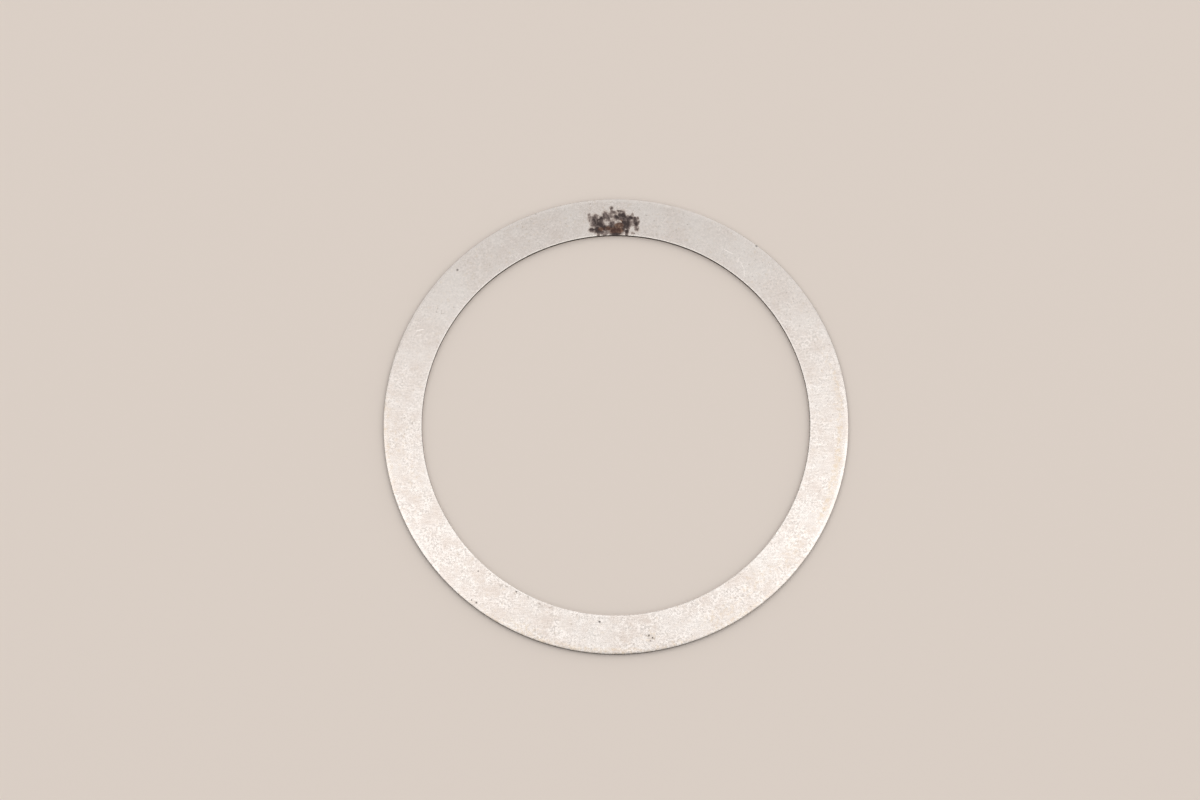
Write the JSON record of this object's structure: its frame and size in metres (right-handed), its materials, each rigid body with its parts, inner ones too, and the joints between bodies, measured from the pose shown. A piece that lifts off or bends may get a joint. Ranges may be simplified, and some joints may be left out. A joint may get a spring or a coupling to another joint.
{
  "type": "shim ring",
  "caption": "Thin flat steel ring, slipped over a shaft against a bearing or shoulder to take up end play and spread its load.",
  "frame": {"origin": "centre of the bore in the plane of the lower face, which the ring lies on", "axes": "+Z along the ring's axis, up through the bore, away from the surface it lies on"},
  "size_m": [0.0599, 0.0598, 0.0005],
  "materials": {
    "cold_rolled_steel": "bright cold-rolled strip, sheared and tumbled, with a film of oil, small rust freckles and one rust stain at the bore"
  },
  "bodies": {
    "root": {"shim_ring": "cold_rolled_steel"}
  },
  "joints": []
}
